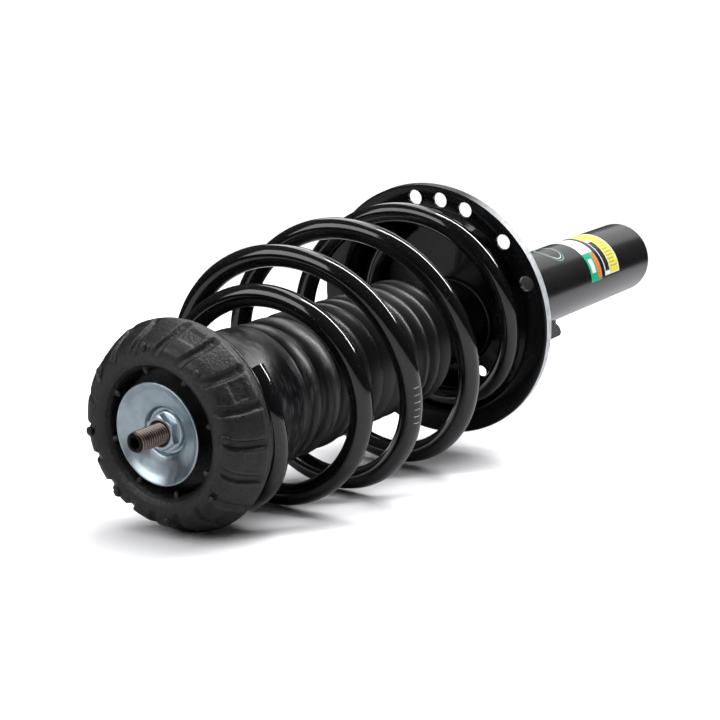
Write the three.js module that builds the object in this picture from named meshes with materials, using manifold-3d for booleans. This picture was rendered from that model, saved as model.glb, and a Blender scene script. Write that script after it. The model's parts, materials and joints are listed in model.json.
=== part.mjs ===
// A front suspension strut: a twin-tube damper inside a barrel coil spring, with its rubber top mount.
// It lies on its side on the mount and the coils, foot end slightly up. Units are millimetres.
// Every piece is placed along the strut: "at" is the distance from the top washer's rim towards the
// foot, local +X runs to the foot, and local +Z is up before the whole strut leans.
import * as THREE from 'three';
import { mergeVertices } from 'three/addons/utils/BufferGeometryUtils.js';
import Module from 'manifold-3d';

const wasm = await Module();
wasm.setup();

// ---- Driving dimensions -------------------------------------------------------------------------
const gap = 0.3;                 // left between pieces that touch
const slide = 0.5;               // radial room around what slides or turns
const strutLean = 5.4;           // degrees from level, foot end up
const travel = 115;              // the damper's stroke from full rebound to full bump

const rod = { radius: 11, threadRadius: 6, endAt: -17.5, shoulderAt: 35.3, tailRadius: 5,
  tailLength: 27, socketRadius: 3, socketDepth: 9 };
const washer = { radius: 28.8, wall: 2.4, dish: 9.5, stepAt: 6.5, seatRadius: 13 };
const nut = { acrossFlats: 18, height: 7, flangeRadius: 11.2, flangeHeight: 1.8 };
const core = { radius: 14 };
const mount = { radius: 60, crestRadius: 46.5, crestAt: -1.5, recessRadius: 35.3, recessAt: 17,
  backAt: 26, hubRadius: 22, hubBackAt: 32, padCount: 18, padTurn: 12, grooveDepth: 2.2, grooveWidth: 3.4 };
const bearing = { ballRadius: 2.5, ballCount: 20, pitchRadius: 30.5, innerRadius: 24, outerRadius: 37,
  raceThick: 4, cageThick: 1.6, cageWidth: 9 };
const plate = { wall: 2, holeRadius: 16, flangeRadius: 57, cupRadius: 40.5, flangeAt: 26.8 };
const spring = { wireRadius: 6.6, firstTurn: -0.84, lastTurn: 3.93, stepsPerTurn: 16, phase: -0.0144 };
const boot = { wall: 1.8, collarRadius: 42.6, collarEndAt: 80, foldRadius: 42.2, foldCount: 3,
  foldPitch: 18.5, ribRadius: 41, ribCount: 8, valleyRadius: 36.5, endAt: 242};
const bump = { radius: 23, waistRadius: 17.5, length: 57.5, waists: 3 };
const tube = { radius: 27.5, wall: 2.5, footAt: 563.8, edgeRound: 2, closureProud: 0.6, closureThick: 6 };
const cap = { wall: 1.5, skirt: 18 };
const seal = { thick: 2.5 };
const guide = { length: 20, spigot: 6 };
const cylinder = { radius: 17.5, wall: 1.5 };
const stop = { length: 13 };
const piston = { length: 18, bandLength: 10, bandWall: 1, discThick: 1.2, nutLength: 8, nutFlats: 15 };
const footValve = { length: 11.4, stemRadius: 3, stemLength: 4.5, discRadius: 12, discThick: 1.3 };
const seat = { radius: 86.5, at: 278, rise: 11.7, sideways: -0.1, lean: 5.54, wall: 2.2, flangeWidth: 16,
  lip: 7.5, depth: 27, wallSlope: 2.5, narrowing: 16, holeRadius: 5.1, holeCircle: 78.3,
  holeAngles: [-3, 11, 25, 49.5, 72],
  drainRadius: 4, drains: [[15, 46], [135, 53], [160, 53]] };
const bracket = { from: 420, to: 459, drop: 15, thick: 4, notchRadius: 4.5 };

// Coil stations: [turn, at, coil radius, rise above the strut's axis, shift towards +Y], joined smoothly.
const coilStations = [
  [-0.9, 35.7, 51, 0, 0], [-0.75, 36.2, 51.2, 0.3, 0], [-0.25, 71, 53.6, 0.8, -2.4],
  [0.25, 94, 62.3, 4.4, -5.6], [0.5, 91.2, 66.2, 6.6, -6.8], [1, 105, 73.2, 6.8, -8],
  [1.5, 142.5, 73.7, 9, -6.8], [2, 176.4, 74, 10.6, -1.8], [2.5, 218.4, 75, 4.4, 0.6],
  [3, 255.4, 74.2, 8.6, 4.4], [3.25, 268, 70, 9.8, 5], [3.5, 286.6, 61.2, 11, 2.4],
  [3.75, 296.1, 59.8, 11.4, 0.5], [4.1, 296.1, 60, 11.6, -0.2]];

// ---- Sizes that follow from the ones above ------------------------------------------------------
const threadHole = rod.threadRadius + gap;
const nutAt = washer.dish - gap - nut.height;
const coreFrontAt = washer.dish + washer.wall + gap;
const coreBackAt = rod.shoulderAt - gap;
const coilRestAt = plate.flangeAt + plate.wall + gap + spring.wireRadius;
const panRestAt = seat.at + seat.depth - gap - spring.wireRadius;
const upperRaceAt = mount.backAt + gap;
const ballAt = upperRaceAt + bearing.raceThick + bearing.cageThick / 2 + slide;
const lowerRaceAt = ballAt + bearing.cageThick / 2 + slide;
const plateFloorAt = lowerRaceAt + bearing.raceThick + gap;
const bumpAt = plateFloorAt + plate.wall + gap;
const bumpEndAt = bumpAt + bump.length;
const capAt = bumpEndAt + travel + 2;
const tubeTopAt = capAt + cap.wall + gap;
const tubeBore = tube.radius - tube.wall;
const insideTube = tubeBore - gap;
const rodBore = rod.radius + gap;
const sealAt = tubeTopAt + gap;
const guideAt = sealAt + seal.thick + gap;
const cylinderAt = guideAt + guide.length + gap;
const cylinderBore = cylinder.radius - cylinder.wall;
const closureAt = tube.footAt + tube.closureProud - tube.closureThick;
const footValveAt = closureAt - gap - footValve.length;
const cylinderEndAt = footValveAt - gap;
const stopAt = cylinderAt + guide.spigot + gap;
const pistonAt = stopAt + stop.length + 6;
const pistonRadius = cylinderBore - slide - piston.bandWall;

// ---- Materials ----------------------------------------------------------------------------------
function finish(color, roughness, metalness) {
  return new THREE.MeshStandardMaterial({ color, roughness, metalness });
}
const glossBlack = finish(0x0c0c0d, 0.25, 0.0);
const mattRubber = finish(0x1b1b1c, 0.8, 0.0);
const bootRubber = finish(0x141415, 0.5, 0.0);
const zincPlate = finish(0xb9c4cc, 0.3, 1.0);
const chromedSteel = finish(0xc8c8ca, 0.15, 1.0);
const plainSteel = finish(0x8d8f92, 0.4, 1.0);
const sinteredIron = finish(0x55575a, 0.6, 0.8);
const bearingSteel = finish(0xd2d4d6, 0.1, 1.0);
const cageNylon = finish(0xd8d2bd, 0.5, 0.0);
const sealRubber = finish(0x222226, 0.6, 0.0);
const bumpFoam = finish(0x3a3527, 0.9, 0.0);
const castAluminium = finish(0x9b9da0, 0.45, 1.0);

// ---- Shapes -------------------------------------------------------------------------------------
function signedVolume(geometry) {
  const p = geometry.getAttribute('position');
  const order = geometry.index.array;
  const [a, b, c] = [new THREE.Vector3(), new THREE.Vector3(), new THREE.Vector3()];
  let volume = 0;
  for (let i = 0; i < order.length; i += 3) {
    a.fromBufferAttribute(p, order[i]);
    b.fromBufferAttribute(p, order[i + 1]);
    c.fromBufferAttribute(p, order[i + 2]);
    volume += a.dot(b.cross(c)) / 6;
  }
  return volume;
}

// One closed skin: shared corners merged, empty triangles dropped, faces turned outwards.
function welded(geometry) {
  geometry.deleteAttribute('normal');
  geometry.deleteAttribute('uv');
  const merged = mergeVertices(geometry, 1e-3);
  const kept = [];
  const order = merged.index.array;
  for (let i = 0; i < order.length; i += 3) {
    const [a, b, c] = [order[i], order[i + 1], order[i + 2]];
    if (a !== b && b !== c && c !== a) kept.push(a, b, c);
  }
  merged.setIndex(kept);
  if (signedVolume(merged) < 0) merged.setIndex(kept.reverse());
  return merged;
}

function toSolid(geometry) {
  const skin = welded(geometry.clone());
  const vertProperties = new Float32Array(skin.getAttribute('position').array);
  const triVerts = new Uint32Array(skin.index.array);
  return new wasm.Manifold(new wasm.Mesh({ numProp: 3, vertProperties, triVerts }));
}

function toGeometry(solid) {
  const mesh = solid.getMesh();
  const geometry = new THREE.BufferGeometry();
  geometry.setAttribute('position', new THREE.BufferAttribute(new Float32Array(mesh.vertProperties), 3));
  geometry.setIndex(Array.from(mesh.triVerts));
  return geometry;
}

function cut(geometry, tools) {
  return toGeometry(tools.reduce((body, tool) => body.subtract(toSolid(tool)), toSolid(geometry)));
}

function join(geometry, others) {
  return toGeometry(others.reduce((body, other) => body.add(toSolid(other)), toSolid(geometry)));
}

// A turned piece about the strut's axis, from an outline of [radius, at] points.
function turned(outline, sides = 28) {
  const closed = outline[0][0] > 0;
  const points = (closed ? [...outline, outline[0]] : outline).map(([r, at]) => new THREE.Vector2(r, at));
  return welded(new THREE.LatheGeometry(points, sides).rotateZ(-Math.PI / 2));
}

function ring(inner, outer, from, to, sides) {
  return turned([[inner, from], [outer, from], [outer, to], [inner, to]], sides);
}

function bar(radius, from, to, sides) {
  return turned([[0, from], [radius, from], [radius, to], [0, to]], sides);
}

function hexBar(acrossFlats, from, to) {
  return bar(acrossFlats / Math.sqrt(3), from, to, 6);
}

// Points on an arc of [radius, at], angles in degrees measured from the outward direction.
function arc(radius, at, size, fromAngle, toAngle, steps) {
  const points = [];
  for (let i = 0; i <= steps; i += 1) {
    const angle = THREE.MathUtils.degToRad(fromAngle + (toAngle - fromAngle) * i / steps);
    points.push([radius + size * Math.cos(angle), at + size * Math.sin(angle)]);
  }
  return points;
}

// Where a direction lies around the axis: 0 degrees is up, 90 degrees is towards -Y.
function around(radius, degrees) {
  const angle = THREE.MathUtils.degToRad(degrees);
  return [-radius * Math.sin(angle), radius * Math.cos(angle)];
}

// A smooth value at a turn, through a table's column.
function smooth(table, column, turn) {
  const last = table.length - 2;
  let i = 0;
  while (i < last && turn > table[i + 1][0]) i += 1;
  const slope = (k) => {
    const before = table[Math.max(k - 1, 0)];
    const after = table[Math.min(k + 1, table.length - 1)];
    return (after[column] - before[column]) / (after[0] - before[0]);
  };
  const span = table[i + 1][0] - table[i][0];
  const t = (turn - table[i][0]) / span;
  const [h00, h10] = [(1 + 2 * t) * (1 - t) ** 2, t * (1 - t) ** 2];
  const [h01, h11] = [t * t * (3 - 2 * t), t * t * (t - 1)];
  return h00 * table[i][column] + h10 * span * slope(i)
    + h01 * table[i + 1][column] + h11 * span * slope(i + 1);
}

// ---- The strut's tree ---------------------------------------------------------------------------
const strut = new THREE.Group();
const axisFrame = new THREE.Group();
axisFrame.rotation.y = -THREE.MathUtils.degToRad(strutLean);
strut.add(axisFrame);

function piece(name, geometry, material, parent = axisFrame) {
  const mesh = new THREE.Mesh(geometry, material);
  mesh.name = name;
  parent.add(mesh);
  return mesh;
}

// ---- Damper: tube, closure, top cap, seal and rod guide -------------------------------------------
function damperTube() {
  const { radius, footAt, edgeRound } = tube;
  const rim = arc(radius - edgeRound, footAt - edgeRound, edgeRound, 0, 90, 3);
  const outline = [[tubeBore, tubeTopAt], [radius, tubeTopAt], ...rim, [tubeBore, footAt]];
  piece('strut_tube', turned(outline, 40), glossBlack);
  const closureEnd = closureAt + tube.closureThick;
  piece('tube_closure', turned([[0, closureAt], [insideTube, closureAt], [insideTube, closureEnd - 1.5],
    [insideTube - 1.5, closureEnd], [0, closureEnd]], 32), glossBlack);
}

function tubeTop() {
  const inner = tube.radius + gap;
  const outer = inner + cap.wall;
  const skirtEnd = capAt + cap.skirt;
  piece('tube_top_cap', turned([[rod.radius + 2 * slide, capAt], [outer, capAt], [outer, skirtEnd],
    [inner, skirtEnd], [inner, capAt + cap.wall], [rod.radius + 2 * slide, capAt + cap.wall]]), plainSteel);
  piece('rod_seal', ring(rodBore, insideTube, sealAt, sealAt + seal.thick), sealRubber);
  const spigot = cylinderBore - gap;
  const guideEnd = guideAt + guide.length;
  piece('rod_guide', turned([[rodBore, guideAt], [insideTube, guideAt], [insideTube, guideEnd],
    [spigot, guideEnd], [spigot, guideEnd + guide.spigot], [rodBore, guideEnd + guide.spigot]]),
  castAluminium);
}

// ---- Damper: pressure cylinder and foot valve ------------------------------------------------------
function innerCylinder() {
  piece('pressure_cylinder', ring(cylinderBore, cylinder.radius, cylinderAt, cylinderEndAt, 32),
    plainSteel);
  const stem = footValve.stemRadius;
  const stemAt = footValveAt - footValve.stemLength;
  piece('foot_valve_body', turned([[0, stemAt], [stem, stemAt], [stem, footValveAt],
    [cylinder.radius, footValveAt], [cylinder.radius, footValveAt + footValve.length],
    [0, footValveAt + footValve.length]], 28), sinteredIron);
  const discEnd = footValveAt - gap;
  piece('foot_valve_disc',
    ring(stem + gap, footValve.discRadius, discEnd - footValve.discThick, discEnd, 24),
    plainSteel);
}

// ---- Rod, piston and what is fixed to them -----------------------------------------------------------
function pistonRod() {
  const tailAt = pistonAt - piston.discThick - gap;
  const tailEnd = tailAt + rod.tailLength;
  const chamfer = 1;
  const blank = turned([[0, rod.endAt], [rod.threadRadius - chamfer, rod.endAt],
    [rod.threadRadius, rod.endAt + chamfer], [rod.threadRadius, rod.shoulderAt],
    [rod.radius, rod.shoulderAt],
    [rod.radius, tailAt], [rod.tailRadius, tailAt], [rod.tailRadius, tailEnd], [0, tailEnd]], 28);
  const socket = hexBar(rod.socketRadius * 2, rod.endAt - 1, rod.endAt + rod.socketDepth);
  piece('piston_rod', cut(blank, [socket]), chromedSteel);
}

function pistonSet() {
  const bore = rod.tailRadius + gap;
  const end = pistonAt + piston.length;
  const bandFrom = pistonAt + (piston.length - piston.bandLength) / 2;
  const bandTo = bandFrom + piston.bandLength;
  const groove = pistonRadius - piston.bandWall;
  piece('piston', turned([[bore, pistonAt + gap], [pistonRadius, pistonAt + gap], [pistonRadius, bandFrom],
    [groove, bandFrom], [groove, bandTo], [pistonRadius, bandTo], [pistonRadius, end], [bore, end]], 28),
  sinteredIron);
  piece('piston_band', ring(groove + gap, pistonRadius + piston.bandWall, bandFrom + gap, bandTo - gap, 28),
    sealRubber);
  const discRadius = pistonRadius - 3;
  piece('compression_valve_disc', ring(bore, discRadius, pistonAt - piston.discThick, pistonAt, 24),
    plainSteel);
  const reboundAt = end + gap;
  piece('rebound_valve_disc', ring(bore, discRadius, reboundAt, reboundAt + piston.discThick, 24),
    plainSteel);
  const nutFrom = reboundAt + piston.discThick + gap;
  const hexagon = hexBar(piston.nutFlats, nutFrom, nutFrom + piston.nutLength);
  piece('piston_nut', cut(hexagon, [bar(bore, nutFrom - 1, nutFrom + piston.nutLength + 1, 20)]),
    plainSteel);
  piece('rebound_stop', ring(rodBore, cylinderBore - slide, stopAt, stopAt + stop.length, 28), sealRubber);
}

function bumpStop() {
  const outline = [[rodBore, bumpAt], [bump.radius, bumpAt]];
  const step = bump.length / (bump.waists + 1);
  for (let i = 1; i <= bump.waists; i += 1) {
    const taper = i / (bump.waists + 1) * 3;
    outline.push([bump.radius - taper, bumpAt + step * (i - 0.35)]);
    outline.push([bump.waistRadius - taper / 2, bumpAt + step * i]);
    outline.push([bump.radius - taper, bumpAt + step * (i + 0.35)]);
  }
  outline.push([bump.waistRadius, bumpEndAt], [rodBore, bumpEndAt]);
  piece('bump_stop', turned(outline, 18), bumpFoam);
}

// ---- Top mount: rubber, core, washer and nut ---------------------------------------------------------
function mountRubber() {
  const { radius, crestRadius, crestAt, recessRadius, recessAt, backAt, hubRadius, hubBackAt } = mount;
  const bore = core.radius + gap;
  const blank = turned([[bore, recessAt], [recessRadius - 3, recessAt], [recessRadius, recessAt - 3],
    [recessRadius, 3], [recessRadius + 3.5, crestAt + 1.6], [crestRadius, crestAt],
    [radius - 9, crestAt + 2.6],
    [radius - 6, 5.8], [radius - 3, 11.6], [radius, 18], [radius - 1.2, 23], [radius - 4, backAt],
    [hubRadius, backAt],
    [hubRadius, hubBackAt], [bore, hubBackAt]], mount.padCount * 2);
  const grooves = [];
  for (let i = 0; i < mount.padCount; i += 1) {
    const slot = new THREE.BoxGeometry(22, mount.grooveWidth, mount.grooveDepth * 2 + 6);
    slot.translate(13, 0, radius + 3);
    slot.rotateX(2 * Math.PI * i / mount.padCount + THREE.MathUtils.degToRad(mount.padTurn));
    grooves.push(slot);
  }
  piece('mount_rubber', cut(blank, grooves), mattRubber);
  piece('mount_core', ring(threadHole, core.radius, coreFrontAt, coreBackAt, 28), plainSteel);
}

function topWasher() {
  const { radius, wall, dish, stepAt, seatRadius } = washer;
  const middle = (radius + seatRadius) / 2;
  piece('top_washer', turned([[threadHole, dish], [seatRadius, dish], [seatRadius + 1, stepAt],
    [middle, stepAt * 0.62], [radius - 2, 0.6], [radius, 0], [radius, 1.4], [radius - 1.6, wall],
    [middle, stepAt * 0.62 + wall], [seatRadius + wall, stepAt + wall], [seatRadius, dish + wall],
    [threadHole, dish + wall]], 36), zincPlate);
}

function topNut() {
  const flangeAt = washer.dish - gap - nut.flangeHeight;
  const flange = turned([[0, flangeAt], [nut.flangeRadius - 1.5, flangeAt],
    [nut.flangeRadius, flangeAt + nut.flangeHeight - 0.8],
    [nut.flangeRadius, washer.dish - gap], [0, washer.dish - gap]], 36);
  const hexagon = hexBar(nut.acrossFlats, nutAt, flangeAt + 1);
  const body = join(flange, [hexagon]);
  piece('top_nut', cut(body, [bar(threadHole, nutAt - 1, washer.dish + 1, 28)]), zincPlate);
}

// ---- Steering bearing -------------------------------------------------------------------------------
function ballTrack(degreesFrom, degreesTo) {
  return arc(bearing.pitchRadius, ballAt, bearing.ballRadius + gap, degreesFrom, degreesTo, 4);
}

function steeringBearing() {
  const { innerRadius, outerRadius, raceThick, cageThick, cageWidth, pitchRadius, ballCount } = bearing;
  const trackSize = bearing.ballRadius + gap;
  const edge = THREE.MathUtils.radToDeg(Math.asin((cageThick / 2 + slide) / trackSize));
  piece('bearing_upper_race', turned([[innerRadius, upperRaceAt], [outerRadius, upperRaceAt],
    [outerRadius, upperRaceAt + raceThick], ...ballTrack(-edge, -180 + edge),
    [innerRadius, upperRaceAt + raceThick]], 24), bearingSteel);
  piece('bearing_lower_race', turned([[innerRadius, lowerRaceAt + raceThick],
    [outerRadius, lowerRaceAt + raceThick], [outerRadius, lowerRaceAt], ...ballTrack(edge, 180 - edge),
    [innerRadius, lowerRaceAt]], 24), bearingSteel);
  const pockets = [];
  for (let i = 0; i < ballCount; i += 1) {
    const angle = 360 * i / ballCount;
    const [y, z] = around(pitchRadius, angle);
    const pocket = bar(trackSize, ballAt - cageThick, ballAt + cageThick, 7);
    pockets.push(pocket.translate(0, y, z));
    const ball = piece(`bearing_ball_${String(i + 1).padStart(2, '0')}`,
      welded(new THREE.SphereGeometry(bearing.ballRadius, 7, 5)), bearingSteel);
    ball.position.set(ballAt, y, z);
  }
  const blank = ring(pitchRadius - cageWidth / 2, pitchRadius + cageWidth / 2, ballAt - cageThick / 2,
    ballAt + cageThick / 2, 32);
  piece('bearing_cage', cut(blank, pockets), cageNylon);
}

// ---- Spring, its two seats and the dust boot -----------------------------------------------------------
function upperPlate() {
  const { wall, holeRadius, flangeRadius, cupRadius, flangeAt } = plate;
  piece('upper_spring_plate', turned([[cupRadius - wall, flangeAt], [flangeRadius, flangeAt],
    [flangeRadius, flangeAt + wall], [cupRadius, flangeAt + wall], [cupRadius, plateFloorAt + wall],
    [holeRadius, plateFloorAt + wall], [holeRadius, plateFloorAt], [cupRadius - wall, plateFloorAt]], 32),
  glossBlack);
}

// The coil's centre line leans with the lower seat towards its foot end.
function coilCentre(turn) {
  const [at, radius, rise, shift] = [1, 2, 3, 4].map((column) => smooth(coilStations, column, turn));
  const angle = 2 * Math.PI * (turn + spring.phase);
  const share = (turn - spring.firstTurn) / (spring.lastTurn - spring.firstTurn);
  const lean = Math.tan(THREE.MathUtils.degToRad(seat.lean)) * share;
  const held = Math.min(Math.max(at, coilRestAt), panRestAt);
  return new THREE.Vector3(held - lean * radius * Math.cos(angle),
    shift - radius * Math.sin(angle), rise + radius * Math.cos(angle));
}

class CoilLine extends THREE.Curve {
  getPoint(t, target = new THREE.Vector3()) {
    return target.copy(coilCentre(spring.firstTurn + t * (spring.lastTurn - spring.firstTurn)));
  }
}

function coilSpring() {
  const section = new THREE.Shape();
  const sides = 8;
  for (let i = 0; i < sides; i += 1) {
    const angle = 2 * Math.PI * i / sides;
    const [x, y] = [spring.wireRadius * Math.cos(angle), spring.wireRadius * Math.sin(angle)];
    if (i === 0) section.moveTo(x, y);
    else section.lineTo(x, y);
  }
  const steps = Math.round((spring.lastTurn - spring.firstTurn) * spring.stepsPerTurn);
  const settings = { steps, extrudePath: new CoilLine(), bevelEnabled: false };
  const wire = new THREE.ExtrudeGeometry(section, settings);
  piece('coil_spring', welded(wire), glossBlack);
}

function dustBoot() {
  const { wall, collarRadius, collarEndAt, foldRadius, foldCount, foldPitch, ribRadius, ribCount,
    valleyRadius, endAt } = boot;
  const topAt = plate.flangeAt + plate.wall + 3;
  const neck = tube.radius + 2 * slide;
  const outer = [[collarRadius, topAt], [collarRadius, collarEndAt]];
  const ribsAt = collarEndAt + foldCount * foldPitch;
  const ribPitch = (endAt - wall - ribsAt) / ribCount;
  for (let i = 0; i < foldCount + ribCount; i += 1) {
    const isFold = i < foldCount;
    const [pitch, ridge] = isFold ? [foldPitch, foldRadius] : [ribPitch, ribRadius];
    const from = isFold ? collarEndAt + foldPitch * i : ribsAt + ribPitch * (i - foldCount);
    outer.push([valleyRadius, from + pitch * 0.3], [ridge, from + pitch * 0.8]);
  }
  outer.push([ribRadius, endAt]);
  const bore = plate.cupRadius + slide;
  const skin = wall * 1.3;         // measured square to the steep folds this leaves the wall
  const inner = outer.slice(2, -1).map(([r, at]) => [r - skin, at]);
  const lining = [[neck, endAt], [neck, endAt - wall], [ribRadius - skin, endAt - wall],
    ...inner.reverse(), [bore, collarEndAt - wall], [bore, topAt]];
  piece('dust_boot', turned([...outer, ...lining], 26), bootRubber);
}

// The pan's wall leans further in where no coil rests on it, on the side towards -Y.
function narrowed(geometry) {
  const { wall, depth, narrowing, radius, flangeWidth } = seat;
  const p = geometry.getAttribute('position');
  for (let i = 0; i < p.count; i += 1) {
    const [x, y, z] = [p.getX(i), p.getY(i), p.getZ(i)];
    const reach = Math.hypot(y, z);
    const degrees = THREE.MathUtils.radToDeg(Math.atan2(-y, z));
    if (reach > (radius - flangeWidth) / 2 && reach < radius - flangeWidth + 2 * wall && x > 2 * wall) {
      const share = Math.min((x - wall) / (depth - wall), 1);
      const bell = THREE.MathUtils.smoothstep(degrees, -22, 25)
        - THREE.MathUtils.smoothstep(degrees, 60, 105);
      const scale = 1 - narrowing * share * bell / reach;
      p.setXYZ(i, x, y * scale, z * scale);
    }
  }
  return geometry;
}

// The lower seat is a pressed pan, set off the strut's axis and leaning, with a hole for the tube.
function lowerSeat() {
  const { radius, wall, flangeWidth, lip, depth, wallSlope } = seat;
  const inner = radius - flangeWidth;
  const floor = inner - wallSlope;
  const pan = narrowed(turned([[0, depth], [floor, depth], [inner, wall], [radius - wall, 0], [radius, 1],
    [radius, lip], [radius - wall + 1, lip], [radius - wall + 1, wall], [inner + wall, wall * 1.8],
    [floor + wall, depth + wall], [0, depth + wall]], 40));
  const holes = seat.holeAngles.map((degrees) => {
    const [y, z] = around(seat.holeCircle, degrees);
    return bar(seat.holeRadius, -3, 3 * wall, 12).translate(0, y, z);
  });
  const drains = seat.drains.map(([degrees, r]) => {
    const [y, z] = around(r, degrees);
    return bar(seat.drainRadius, depth - 3, depth + 3 * wall, 10).translate(0, y, z);
  });
  const place = new THREE.Matrix4().makeRotationY(-THREE.MathUtils.degToRad(seat.lean));
  place.setPosition(seat.at, seat.sideways, seat.rise);
  const blank = cut(pan, [...holes, ...drains]).applyMatrix4(place);
  const tubeHole = bar(tube.radius + gap, seat.at - 60, seat.at + 120, 40);
  piece('lower_spring_seat', cut(blank, [tubeHole]), glossBlack);
}

function hoseBracket() {
  const { from, to, drop, thick, notchRadius } = bracket;
  const top = -(tube.radius + gap);
  const sheet = new THREE.Shape();
  sheet.moveTo(from, top);
  sheet.lineTo(from, top - drop * 0.7);
  sheet.lineTo(from + 8, top - drop);
  sheet.lineTo(to - 2 * notchRadius - 5, top - drop);
  sheet.absarc(to - notchRadius - 5, top - drop, notchRadius, Math.PI, 0, true);
  sheet.lineTo(to, top - drop);
  sheet.lineTo(to, top);
  const blank = new THREE.ExtrudeGeometry(sheet, { depth: thick, bevelEnabled: false, curveSegments: 10 });
  blank.rotateX(Math.PI / 2).translate(0, thick / 2, 0);
  piece('hose_bracket', welded(blank), glossBlack);
}

damperTube();
tubeTop();
innerCylinder();
pistonRod();
pistonSet();
bumpStop();
mountRubber();
topWasher();
topNut();
steeringBearing();
upperPlate();
coilSpring();
dustBoot();
lowerSeat();
hoseBracket();

// The strut stands on the ground plane, centred over the origin.
const bounds = new THREE.Box3().setFromObject(strut, true);
const middle = bounds.getCenter(new THREE.Vector3());
axisFrame.position.set(-middle.x, -middle.y, -bounds.min.z);

export default strut;
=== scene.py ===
# A front suspension strut lying on its side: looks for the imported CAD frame.
# Lengths in the dictionaries are millimetres. A place on the strut is (at, y, z): at runs along the
# damper from the top washer's rim towards the foot, y is the world's +Y, z is square to both.
import json
import math

import bmesh
import bpy
from mathutils import Matrix, Vector


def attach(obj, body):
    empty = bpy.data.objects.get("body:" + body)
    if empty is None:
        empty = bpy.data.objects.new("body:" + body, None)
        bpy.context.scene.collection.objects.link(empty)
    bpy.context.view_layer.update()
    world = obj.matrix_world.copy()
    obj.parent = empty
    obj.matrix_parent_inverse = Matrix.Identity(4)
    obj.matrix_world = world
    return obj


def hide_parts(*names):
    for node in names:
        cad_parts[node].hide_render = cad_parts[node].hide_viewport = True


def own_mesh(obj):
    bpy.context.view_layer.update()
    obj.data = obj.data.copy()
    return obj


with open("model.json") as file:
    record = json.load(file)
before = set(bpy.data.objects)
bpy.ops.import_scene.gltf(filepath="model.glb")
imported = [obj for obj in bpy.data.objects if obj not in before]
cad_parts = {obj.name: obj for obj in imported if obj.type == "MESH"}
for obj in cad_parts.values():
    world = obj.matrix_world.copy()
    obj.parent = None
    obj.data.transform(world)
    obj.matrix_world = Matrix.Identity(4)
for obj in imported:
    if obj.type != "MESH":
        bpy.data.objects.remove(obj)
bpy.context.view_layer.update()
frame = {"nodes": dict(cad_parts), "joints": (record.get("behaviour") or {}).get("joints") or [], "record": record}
print("frame loaded:", len(frame["nodes"]), "CAD nodes")

# The strut's own axes, read from its joints.
joints = {joint["name"]: joint for joint in frame["joints"]}
bearingAt = 31.6                      # where the steering bearing's centre lies along the strut
along = Vector(joints["strut_compression"]["axis"]).normalized()
across = Vector((0, 1, 0))
above = along.cross(across)
origin = Vector(joints["steer_bearing"]["pos_m"]) - along * bearingAt / 1000
strutTurn = Matrix((along, across, above)).transposed().to_4x4()
strutPlace = Matrix.Translation(origin) @ strutTurn @ Matrix.Scale(0.001, 4)    # millimetres to the world


def onStrut(at, radius, degrees):
    # 0 degrees is up, 90 degrees is towards -Y
    angle = math.radians(degrees)
    return Vector((at, -radius * math.sin(angle), radius * math.cos(angle)))


def blendBetween(low, high, value):
    # 0 at low, 1 at high, smooth between
    share = min(max((value - low) / (high - low), 0.0), 1.0)
    return share * share * (3 - 2 * share)


# camera
view = {"heading": 34.6, "pitch": 8.9, "lens": 80, "back": (-0.628, -0.5654, 0.1717)}


def makeCamera():
    lens = bpy.data.cameras.new("viewCamera")
    lens.lens = view["lens"]
    lens.sensor_width = 36
    camera = bpy.data.objects.new("viewCamera", lens)
    bpy.context.scene.collection.objects.link(camera)
    camera.location = origin + Vector(view["back"])
    camera.rotation_euler = (math.radians(90 - view["pitch"]), 0, math.radians(view["heading"] - 90))
    bpy.context.scene.camera = camera


makeCamera()


# nodes and colours
def colour(text):
    # sRGB hex to the linear colour a shader reads
    parts = [int(text[i:i + 2], 16) / 255 for i in (1, 3, 5)]
    linear = [p / 12.92 if p <= 0.04045 else ((p + 0.055) / 1.055) ** 2.4 for p in parts]
    return (*linear, 1.0)


def addNode(tree, kind, inputs=None, **settings):
    node = tree.nodes.new(kind)
    for name, value in settings.items():
        setattr(node, name, value)
    for name, value in (inputs or {}).items():
        socket = node.inputs[name]
        if isinstance(value, bpy.types.NodeSocket):
            tree.links.new(value, socket)
        else:
            socket.default_value = value
    return node


def strutSpace(tree):
    # object coordinates turned into millimetres along and across the strut
    spot = addNode(tree, "ShaderNodeTexCoord")
    return addNode(tree, "ShaderNodeMapping", {"Vector": spot.outputs["Object"], "Location": origin,
                   "Rotation": strutPlace.to_euler(), "Scale": (0.001, 0.001, 0.001)},
                   vector_type="TEXTURE").outputs["Vector"]


def startMaterial(name, metallic=0.0, ior=1.5):
    material = bpy.data.materials.new(name)
    material.use_nodes = True
    tree = material.node_tree
    shader = tree.nodes["Principled BSDF"]
    shader.inputs["Metallic"].default_value = metallic
    shader.inputs["IOR"].default_value = ior
    return material, tree, shader


def mixColours(tree, share, first, second):
    # first and second are hex texts or colour sockets
    first, second = (colour(c) if isinstance(c, str) else c for c in (first, second))
    return addNode(tree, "ShaderNodeMix", {0: share, 6: first, 7: second}, data_type="RGBA").outputs[2]


def noise(tree, where, size, detail=3.0, low=0.35, high=0.65):
    # soft noise whose lumps are about size millimetres across, spread from 0 to 1
    grain = addNode(tree, "ShaderNodeTexNoise", {"Vector": where, "Scale": 1 / size, "Detail": detail})
    return addNode(tree, "ShaderNodeMapRange", {"Value": grain.outputs["Fac"], "From Min": low,
                   "From Max": high}).outputs["Result"]


def ranged(tree, value, low, high):
    spread = addNode(tree, "ShaderNodeMapRange", {"Value": value, "To Min": low, "To Max": high})
    return spread.outputs["Result"]


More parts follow.
